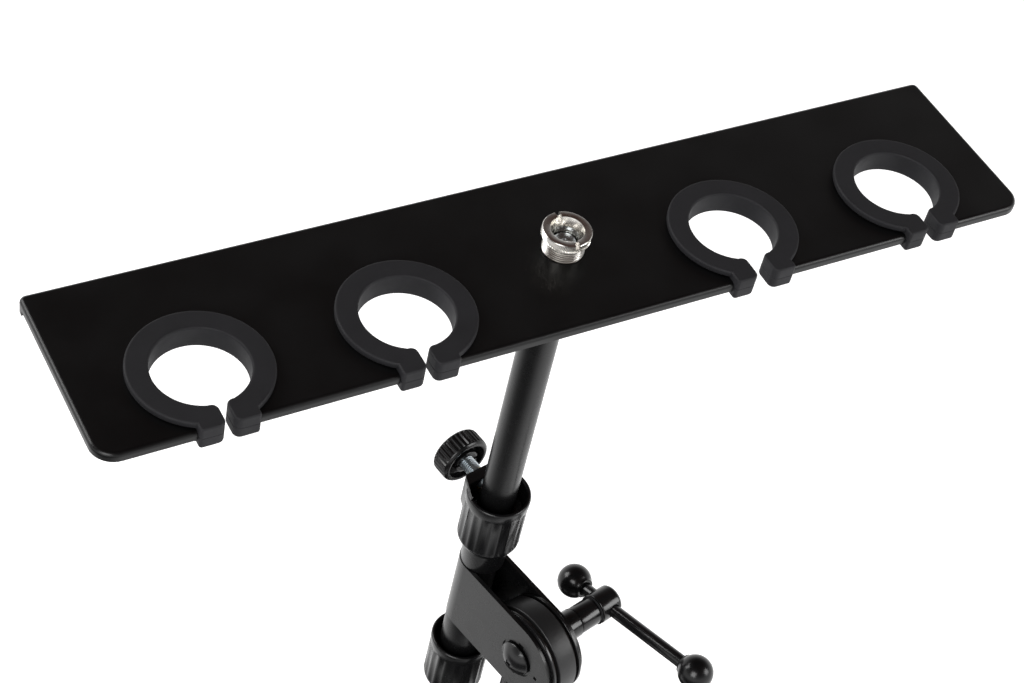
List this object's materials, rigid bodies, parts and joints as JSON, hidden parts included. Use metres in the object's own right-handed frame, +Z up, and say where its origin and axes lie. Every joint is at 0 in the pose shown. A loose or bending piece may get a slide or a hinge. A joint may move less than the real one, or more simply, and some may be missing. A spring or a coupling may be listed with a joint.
{
  "type": "four-place airbrush or microphone holder tray on a tilting bench stand",
  "caption": "Long sheet-steel tray with open rubber holding rings, on a sliding boom tube with a tilting strap joint, T-handle, short column and round weighted base.",
  "frame": {"origin": "on the floor, below the middle of the tray's length and the middle of the round base in Y", "axes": "+X along the tray, +Y from the column towards the boom tube (the tray's rear edge), +Z up"},
  "size_m": [0.381, 0.236, 0.44],
  "materials": {
    "tray_coat": "satin near-black powder coat",
    "ring_rubber": "matte charcoal rubber",
    "tube_paint": "satin black paint",
    "black_plastic": "satin black moulding",
    "nickel": "bright nickel plate",
    "zinc": "bright zinc plate",
    "black_oxide": "glossy black plate on steel",
    "cast_base": "fine textured black paint",
    "friction_fibre": "pressed fibre",
    "brass_insert": "turned brass"
  },
  "bodies": {
    "stand": {"base_plate": "cast_base", "base_foot_ring": "ring_rubber", "base_washer": "zinc", "base_bolt": "zinc", "column_cover": "black_plastic", "column_ferrule": "zinc", "column_tube": "tube_paint", "pivot_hub": "cast_base"},
    "boom_head": {"strap_bracket": "tube_paint", "sleeve_upper": "tube_paint", "sleeve_lower": "tube_paint", "upper_collar": "black_plastic", "upper_bush": "black_plastic", "clamp_insert": "brass_insert", "lower_collar": "black_plastic", "friction_disc_near": "friction_fibre", "cheek_washer_near": "black_oxide", "friction_disc_far": "friction_fibre", "cheek_washer_far": "black_oxide", "pivot_bolt": "black_oxide", "handle_spacer": "black_oxide"},
    "boom": {"boom_tube": "tube_paint", "boom_stud": "zinc", "boom_end_cap": "black_plastic"},
    "tray": {"tray_plate": "tray_coat", "tray_boss": "tray_coat", "thread_adapter": "nickel", "ring_grommet_1": "ring_rubber", "ring_grommet_2": "ring_rubber", "ring_grommet_3": "ring_rubber", "ring_grommet_4": "ring_rubber"},
    "thumbscrew": {"thumbscrew_screw": "zinc", "thumbscrew_knob": "black_plastic"},
    "handle": {"handle_head": "black_oxide", "handle_ring": "ring_rubber"},
    "cross_bar": {"handle_bar": "black_oxide", "handle_ball_near": "black_plastic", "handle_ball_far": "black_plastic"}
  },
  "joints": [
    {"name": "boom_tilt", "type": "hinge", "parent": "stand", "child": "boom_head", "pos_m": [0.00853, 0, 0.2234], "axis": [0.9763, 0.2164, 0], "range_deg": [-5, 90]},
    {"name": "boom_slide", "type": "slide", "parent": "boom_head", "child": "boom", "axis": [0, 0, 1], "range_m": [-0.08, 0.036]},
    {"name": "tray_swivel", "type": "hinge", "parent": "boom", "child": "tray", "pos_m": [0, 0.03847, 0.43], "axis": [0, 0, 1], "range_deg": [-180, 180]},
    {"name": "thumbscrew_turn", "type": "hinge", "parent": "boom_head", "child": "thumbscrew", "pos_m": [0, 0.03847, 0.2843], "axis": [-0.1736, 0.9848, 0], "range_deg": [-45, 360]},
    {"name": "handle_turn", "type": "hinge", "parent": "boom_head", "child": "handle", "pos_m": [0.00853, 0, 0.2234], "axis": [0.9763, 0.2164, 0], "range_deg": [-45, 360]},
    {"name": "cross_bar_slide", "type": "slide", "parent": "handle", "child": "cross_bar", "axis": [0.2097, -0.946, 0.247], "range_m": [-0.0409, 0.0039]}
  ]
}
